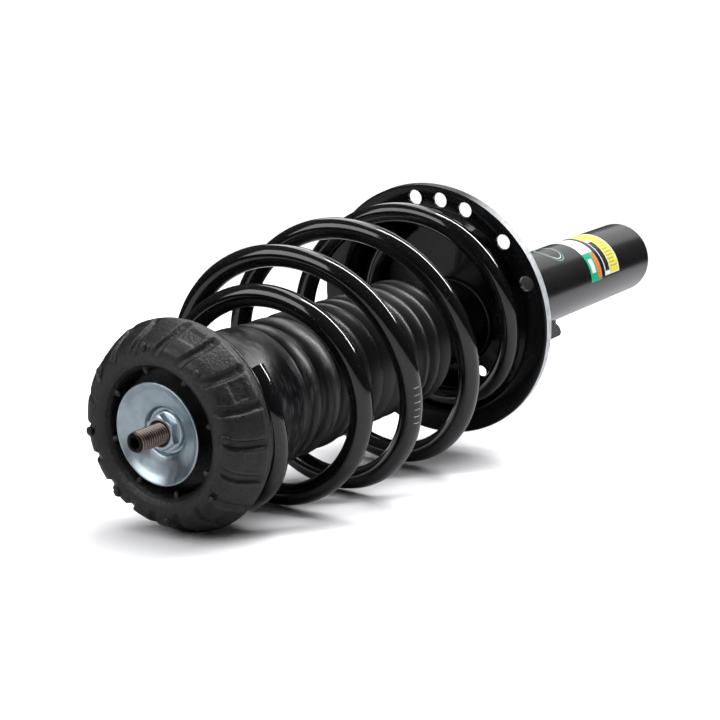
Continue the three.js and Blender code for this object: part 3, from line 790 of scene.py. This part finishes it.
# upper spring plate and dust boot
print("spring plate and dust boot")
plate = {"wall": 2, "holeRadius": 16, "flangeRadius": 57, "cupRadius": 40.5, "flangeAt": 26.8,
         "floorAt": 37.2}
boot = {"wall": 1.8, "collarRadius": 42.6, "topAt": 31.8, "collarEndAt": 80, "foldRadius": 42.2, "folds": 3,
        "foldPitch": 18.5, "ribRadius": 41.2, "ribs": 8, "valleyRadius": 36.5, "endAt": 242, "neck": 28.5,
        "bore": 41.0, "step": 0.75, "sides": 96, "travel": 115.0}


def makePlate():
    p = plate
    outline = [(p["cupRadius"] - p["wall"], p["flangeAt"]), (p["flangeRadius"], p["flangeAt"]),
               (p["flangeRadius"], p["flangeAt"] + p["wall"]), (p["cupRadius"], p["flangeAt"] + p["wall"]),
               (p["cupRadius"], p["floorAt"] + p["wall"]), (p["holeRadius"], p["floorAt"] + p["wall"]),
               (p["holeRadius"], p["floorAt"]), (p["cupRadius"] - p["wall"], p["floorAt"])]
    piece = makePiece("upperSpringPlate", *revolved(rounded(outline, 0.8, 3), 128), panPaint, 40)
    settle(piece, "spring_top_seat", "gloss_black_paint", "upper_spring_plate")


def bootRadius(at):
    # the outer skin's radius: plain collar, three fat folds, then fine ribs
    b = boot
    ribsAt = b["collarEndAt"] + b["folds"] * b["foldPitch"]
    if at < b["collarEndAt"]:
        return b["collarRadius"] + 0.5 * blendBetween(50, 66, at) - 0.6 * blendBetween(74, 80, at)
    if at < ribsAt:
        share = (at - b["collarEndAt"]) / b["foldPitch"] % 1
        return b["valleyRadius"] + (b["foldRadius"] - b["valleyRadius"]) * math.sin(math.pi * share) ** 0.5
    pitch = (b["endAt"] - b["wall"] - ribsAt) / b["ribs"]
    share = (at - ribsAt) / pitch % 1
    skewed = share ** 1.25
    return b["valleyRadius"] + (b["ribRadius"] - b["valleyRadius"]) * math.sin(math.pi * skewed) ** 0.8


def makeBoot():
    b = boot
    count = int((b["endAt"] - b["wall"] - b["topAt"]) / b["step"])
    places = [b["topAt"] + (b["endAt"] - b["wall"] - b["topAt"]) * k / count for k in range(count + 1)]
    outer = [(bootRadius(at), at) for at in places]
    inner = [(max(bootRadius(at) - b["wall"], b["neck"]), at) for at in places]
    inner = [(b["bore"], at) if at < b["collarEndAt"] - 6 else (radius, at) for radius, at in inner]
    outline = outer + [(b["valleyRadius"] - 1, b["endAt"] - 0.3), (b["valleyRadius"] - 3, b["endAt"]),
                       (b["neck"], b["endAt"]), (b["neck"], b["endAt"] - b["wall"])]
    outline += [point for point in reversed(inner[::2]) if point[1] < b["endAt"] - b["wall"] - 1]
    points, faces = revolved(outline, b["sides"])
    wear = []
    for k in range(b["sides"]):
        for i, (radius, at) in enumerate(outline):
            proud = blendBetween(39.5, 42.5, radius) if i < len(outer) else 0.0
            wear.append(proud * (1 - 0.75 * blendBetween(130, 140, at)))
    piece = makePiece("dustBoot", points, faces, bootRubber, 60, wear=wear)
    settle(piece, "spring_top_seat", "boot_rubber", "dust_boot")
    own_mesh(piece)


makePlate()
makeBoot()

# lower spring seat
print("lower spring seat")
seat = {"radius": 86.5, "at": 278, "rise": 11.7, "sideways": -0.1, "lean": 5.54, "wall": 2.2,
        "flangeWidth": 16, "lip": 7.5, "depth": 27, "wallSlope": 2.5, "narrowing": 16,
        "holeRadius": 5.1, "holeCircle": 78.3, "holeAngles": [-3, 11, 25, 49.5, 72], "drainRadius": 4,
        "drains": [(15, 46), (135, 53), (160, 53)], "tubeHole": 27.8, "beadRadius": 2.4,
        "beadStep": 1.6}
seatTurn = Matrix.Translation((seat["at"], seat["sideways"], seat["rise"])) @ Matrix.Rotation(
    -math.radians(seat["lean"]), 4, "Y")
seatPlace = strutPlace @ seatTurn


def narrowed(radius, at, degrees):
    # the pan's wall leans further in where no coil rests on it, on the side towards -Y
    s = seat
    inner = s["radius"] - s["flangeWidth"]
    if radius < inner / 2 or radius > inner + 2 * s["wall"] or at < 2 * s["wall"]:
        return radius, at
    signed = (degrees + 180) % 360 - 180
    bell = blendBetween(-22, 25, signed) - blendBetween(60, 105, signed)
    return radius - s["narrowing"] * min((at - s["wall"]) / (s["depth"] - s["wall"]), 1) * bell, at


def makeSeat():
    s = seat
    inner = s["radius"] - s["flangeWidth"]
    floor = inner - s["wallSlope"]
    w, rim, lip, deep = s["wall"], s["radius"], s["lip"], s["depth"]
    outline = [(0, deep), (floor - 3, deep), (floor - 0.8, deep - 0.7), (floor, deep - 2.5),
               (inner - 0.5, 4.8), (inner + 0.4, 1.8), (inner + 1.8, 0.4), (inner + 3.6, 0), (rim - w, 0),
               (rim - 0.8, 0.2), (rim, 1.2), (rim, lip - 0.4), (rim - 0.5, lip), (rim - w + 1.2, lip),
               (rim - w + 0.8, lip - 0.4), (rim - w + 0.8, w), (inner + w + 0.6, w), (inner + w, w * 2.1),
               (floor + w, deep - 1), (floor + w - 1.8, deep + w), (0, deep + w)]
    points, faces = revolved(outline, 180, narrowed)
    piece = makePiece("lowerSpringSeat", points, faces, panPaint, 30, seatPlace)

    def drill(name, radius, low, high, spot=(0, 0), place=seatPlace, steps=40):
        centre = onStrut(0, *spot)
        points, faces = revolved([(0, low), (radius, low), (radius, high), (0, high)], steps)
        return makePiece(name, [point + centre for point in points], faces, panPaint, 30, place)

    cutters = [drill("hole", s["holeRadius"], -3, 9, (s["holeCircle"], degrees))
               for degrees in s["holeAngles"]]
    cutters += [drill("drain", s["drainRadius"], s["depth"] - 4, s["depth"] + 9, (radius, degrees))
                for degrees, radius in s["drains"]]
    cutters.append(drill("tubeHole", s["tubeHole"], s["at"] - 60, s["at"] + 120, place=strutPlace, steps=96))
    subtract(piece, cutters)
    piece.data.shade_smooth()
    piece.data.set_sharp_from_angle(angle=math.radians(30))
    # the pressed edge gets its own material, black paint with the pale grey painted reflection of the backdrop
    # this material paints the backdrop's reflection on the lip in pale grey
    piece.data.materials.append(lipPaintedReflection)
    flat = seatPlace.inverted()
    for face in piece.data.polygons:
        centre = flat @ face.center
        if math.hypot(centre.y, centre.z) > s["radius"] - 0.3 and centre.x > 0.9:
            face.material_index = 1
    settle(piece, "damper_body", "gloss_black_paint", "lower_spring_seat")


def makeWelds():
    # the bead where the tube passes through the leaning pan
    s = seat
    slope = math.tan(math.radians(s["lean"]))
    line = []
    for k in range(72):
        degrees = 360 * k / 72
        spot = onStrut(0, s["tubeHole"] + 0.8, degrees)
        floorAt = s["at"] + s["depth"] / math.cos(math.radians(s["lean"])) - (spot.z - s["rise"]) * slope
        line.append(Vector((floorAt - 0.6, spot.y, spot.z)))
    sizes = {"Radius": s["beadRadius"] / 1000, "Step": s["beadStep"] / 1000, "Seed": 4, "Material": panPaint}
    piece = grow("seatWeldBead", guideLine("weldLine", line, closed=True), beadTree, sizes, 60)
    settle(piece, "damper_body", "gloss_black_paint")


makeSeat()
makeWelds()

# damper tube, closure and bracket
print("damper tube")
tube = {"radius": 27.5, "bore": 25.0, "topAt": 215.8, "footAt": 563.8, "edge": 2.2, "closureAt": 558.4,
        "closureEnd": 564.4, "closureRadius": 24.7}
bracket = {"from": 420, "to": 459, "drop": 15, "thick": 4}


def makeTube():
    t = tube
    edge = t["edge"]
    rim = [(t["radius"] - edge + edge * math.cos(math.radians(a)), t["footAt"] - edge + edge * math.sin(
        math.radians(a))) for a in range(0, 91, 15)]
    outline = [(t["bore"], t["topAt"]), (t["radius"], t["topAt"]), *rim, (t["bore"], t["footAt"])]
    piece = makePiece("strutTube", *revolved(outline, 160), tubePaint, 40)
    settle(piece, "damper_body", "gloss_black_paint", "strut_tube")
    wide, end = t["closureRadius"], t["closureEnd"]
    outline = [(0, t["closureAt"]), (wide, t["closureAt"]), (wide, end - 1.2), (wide - 1.2, end), (18, end),
               (16.5, end - 0.8), (0, end - 0.8)]
    piece = makePiece("tubeClosure", *revolved(rounded(outline, 0.7), 120), tubePaint, 40)
    settle(piece, "damper_body", "gloss_black_paint", "tube_closure")


def makeBracket():
    b = bracket
    top = -(tube["radius"] + 0.3)
    low = top - b["drop"]
    outline = [(b["from"], top), (b["from"], top - b["drop"] * 0.7), (b["from"] + 8, low),
               (b["to"] - 2, low), (b["to"] - 0.3, low + 1.2), (b["to"], low + 3), (b["to"] - 1.6, low + 6),
               (b["to"] - 4, low + 8.6), (b["to"] - 7, low + 10.4), (b["to"] - 8.2, low + 11.6),
               (b["to"] - 7.6, low + 12.9), (b["to"] - 5.6, low + 14.2), (b["to"] - 4.5, top)]
    points = []
    half = b["thick"] / 2
    for side in (-half, half):
        points += [Vector((at, side, z)) for at, z in outline]
    count = len(outline)
    faces = [tuple(range(count)), tuple(range(2 * count - 1, count - 1, -1))]
    faces += [(i, (i + 1) % count, count + (i + 1) % count, count + i) for i in range(count)]
    piece = makePiece("hoseBracket", points, faces, panPaint, 35)
    edges = piece.modifiers.new("edges", "BEVEL")
    edges.width = 0.0007
    edges.segments = 3
    settle(piece, "damper_body", "gloss_black_paint", "hose_bracket")


def curvedPatch(points, faces, atFrom, atTo, degreesFrom, degreesTo, low, high):
    # a thin closed slab wrapped on the tube, added to the lists
    rows = max(2, math.ceil(abs(degreesTo - degreesFrom) / 3))
    first = len(points)
    for k in range(rows + 1):
        degrees = degreesFrom + (degreesTo - degreesFrom) * k / rows
        for at in (atFrom, atTo):
            for radius in (low, high):
                points.append(onStrut(at, radius, degrees))
    faces += slabFaces(first, rows)


# film colour, from at, to at, from degrees, to degrees, layer
labelPatches = [
    ("white", 461.6, 479.3, -14, 44, 0), ("teal", 461.6, 479.3, 44, 92.2, 0),
    ("orange", 473.4, 478.6, 46.8, 88.6, 1), ("white", 464.5, 470.5, 55, 78, 1),
    ("white", 484.6, 508.6, -20, 89, 0), ("yellow", 493.4, 507.4, -12, 87, 1),
    ("black", 485.8, 492.4, 26, 82, 1), ("yellow", 486, 492.4, -12, 20, 1)]
for row in range(9):
    labelPatches.append(("grey", 494.6, 506.2 - (row * 5 % 4), 28 + row * 6, 29.6 + row * 6, 2))
for row in range(3):
    labelPatches.append(("grey", 464.0, 476.5 - row * 2, -2 + row * 9, 0.4 + row * 9, 1))
labelLayer = {"start": 0.05, "step": 0.05}


def makeLabels():
    for film in sorted(set(patch[0] for patch in labelPatches)):
        points, faces = [], []
        for name, atFrom, atTo, low, high, layer in labelPatches:
            if name == film:
                top = tube["radius"] + labelLayer["start"] + labelLayer["step"] * layer
                curvedPatch(points, faces, atFrom, atTo, low, high, tube["radius"] - 0.02, top)
        piece = makePiece("tubeLabel" + film.capitalize(), points, faces, labelFilms[film], 30)
        settle(piece, "damper_body", "gloss_black_paint")


oval = {"at": 432.5, "degrees": 13, "long": 10.5, "wide": 8.2, "spread": 1.6, "line": 0.4, "points": 96}


def makeRingPrint():
    # two plain oval rings, one inside the other, printed on the tube near the seat
    for film, size, line in (("green", 1.0, oval["line"]), ("white", 0.82, oval["line"] / 2)):
        points = []
        for k in range(oval["points"]):
            angle = 2 * math.pi * k / oval["points"]
            for widen in (-line, line):
                at = oval["at"] + (oval["long"] * size + widen) * math.cos(angle)
                around = (oval["wide"] * size + widen) * math.sin(angle) * oval["spread"]
                degrees = oval["degrees"] + math.degrees(around / tube["radius"])
                for lift in (-0.02, 0.06):
                    points.append(onStrut(at, tube["radius"] + lift, degrees))
        faces = slabFaces(0, oval["points"], closed=True)
        piece = makePiece("tubeOvalPrint" + film.capitalize(), points, faces, labelFilms[film], 30)
        settle(piece, "damper_body", "gloss_black_paint")


makeTube()
makeBracket()
makeLabels()
makeRingPrint()

# finishes of the CAD pieces that keep their own shape
print("finishes of the inner pieces")
keptFinishes = {
    "tube_top_cap": plainSteel, "rod_seal": sealRubber, "rod_guide": castAluminium,
    "pressure_cylinder": plainSteel, "foot_valve_body": sinteredIron, "foot_valve_disc": plainSteel,
    "bearing_upper_race": bearingSteel, "bearing_lower_race": bearingSteel, "bearing_cage": cageNylon,
    "mount_core": plainSteel, "piston": sinteredIron, "piston_band": sealRubber,
    "compression_valve_disc": plainSteel, "rebound_valve_disc": plainSteel, "piston_nut": plainSteel,
    "rebound_stop": sealRubber, "bump_stop": bumpFoam}
spareFinishes = {"gloss_black_paint": panPaint, "mount_rubber": mountRubber, "boot_rubber": bootRubber,
                 "zinc_plate": washerZinc, "rod_steel": rodChrome, "bearing_steel": bearingSteel}
slotOf = {part["node"]: part["material_slot"] for part in frame["record"]["subparts"]}
for name, node in frame["nodes"].items():
    finish = keptFinishes.get(name) or spareFinishes[slotOf[name]]
    for materialSlot in node.material_slots:
        materialSlot.material = finish
    if not node.material_slots:
        node.data.materials.append(finish)

# floor, lights and world
print("floor and lights")
studio = {"floorSize": 3.2, "floorFadeFrom": 0.95, "floorFadeTo": 1.45}


def makeFloor():
    mesh = bpy.data.meshes.new("floor")
    half = studio["floorSize"] / 2
    corners = [(-half, -half, 0), (half, -half, 0), (half, half, 0), (-half, half, 0)]
    mesh.from_pydata(corners, [], [(0, 1, 2, 3)])
    floor = bpy.data.objects.new("floor", mesh)
    bpy.context.scene.collection.objects.link(floor)
    floor.location.z = -0.0002
    material, tree, shader = startMaterial("matWhiteFloorBoard")
    bounce = addNode(tree, "ShaderNodeLightPath").outputs["Is Glossy Ray"]
    # darker where the gloss paint mirrors it
    link(tree, mixColours(tree, bounce, "#f4f4f6", "#9c9c9e"), shader, "Base Color")
    shader.inputs["Roughness"].default_value = 0.9
    shader.inputs["Specular IOR Level"].default_value = 0.0
    spot = addNode(tree, "ShaderNodeTexCoord")
    reach = addNode(tree, "ShaderNodeVectorMath", {0: spot.outputs["Object"]}, operation="LENGTH")
    fade = addNode(tree, "ShaderNodeMapRange", {"Value": reach.outputs["Value"],
                   "From Min": studio["floorFadeFrom"], "From Max": studio["floorFadeTo"]},
                   interpolation_type="SMOOTHSTEP")
    clear = addNode(tree, "ShaderNodeBsdfTransparent")
    mix = addNode(tree, "ShaderNodeMixShader", {0: fade.outputs["Result"], 1: shader.outputs[0],
                  2: clear.outputs[0]})
    tree.links.new(mix.outputs[0], tree.nodes["Material Output"].inputs["Surface"])
    mesh.materials.append(material)


def makeLight(name, size, power, place, aim, tint="#ffffff", seenInGloss=True):
    lamp = bpy.data.lights.new(name, "AREA")
    lamp.shape = "RECTANGLE"
    lamp.size, lamp.size_y = size
    lamp.energy = power
    lamp.color = colour(tint)[:3]
    light = bpy.data.objects.new(name, lamp)
    bpy.context.scene.collection.objects.link(light)
    light.location = place
    light.visible_glossy = seenInGloss
    light.rotation_euler = (Vector(aim) - Vector(place)).to_track_quat("-Z", "Y").to_euler()


def makeWorld():
    world = bpy.data.worlds.new("studioWorld")
    bpy.context.scene.world = world
    world.use_nodes = True
    tree = world.node_tree
    tree.nodes.clear()
    spot = addNode(tree, "ShaderNodeTexCoord")
    split = addNode(tree, "ShaderNodeSeparateXYZ", {"Vector": spot.outputs["Generated"]})
    lift = addNode(tree, "ShaderNodeMapRange", {"Value": split.outputs["Z"], "From Min": 0.0,
                   "From Max": 0.9, "To Min": 0.02, "To Max": 0.12})
    seen = addNode(tree, "ShaderNodeLightPath")
    room = addNode(tree, "ShaderNodeBackground", {"Color": (0.95, 0.97, 1.0, 1.0),
                   "Strength": lift.outputs["Result"]})
    backdrop = addNode(tree, "ShaderNodeBackground", {"Color": (1.0, 1.0, 1.0, 1.0), "Strength": 1.1})
    mix = addNode(tree, "ShaderNodeMixShader", {0: seen.outputs["Is Camera Ray"], 1: room.outputs[0],
                  2: backdrop.outputs[0]})
    addNode(tree, "ShaderNodeOutputWorld", {"Surface": mix.outputs[0]})


makeFloor()
makeWorld()
makeLight("overheadWash", (2.2, 2.2), 44, (0.1, 0.1, 1.6), (0.0, 0.0, 0.0), seenInGloss=False)
makeLight("overheadBox", (0.5, 1.6), 9, (0.35, 0.35, 1.3), (0.0, 0.0, 0.1))
makeLight("brightStrip", (0.1, 1.25), 18, (0.45, -0.42, 1.02), (0.0, 0.0, 0.1))
makeLight("backPanel", (0.8, 1.0), 2, (1.1, 0.2, 0.85), (0.0, 0.0, 0.1))
makeLight("frontBox", (1.1, 0.8), 9, (-1.25, 0.35, 0.85), (-0.25, 0.0, 0.06))
bpy.context.scene.view_settings.view_transform = "Standard"
bpy.context.scene.view_settings.look = "None"

print("finished")
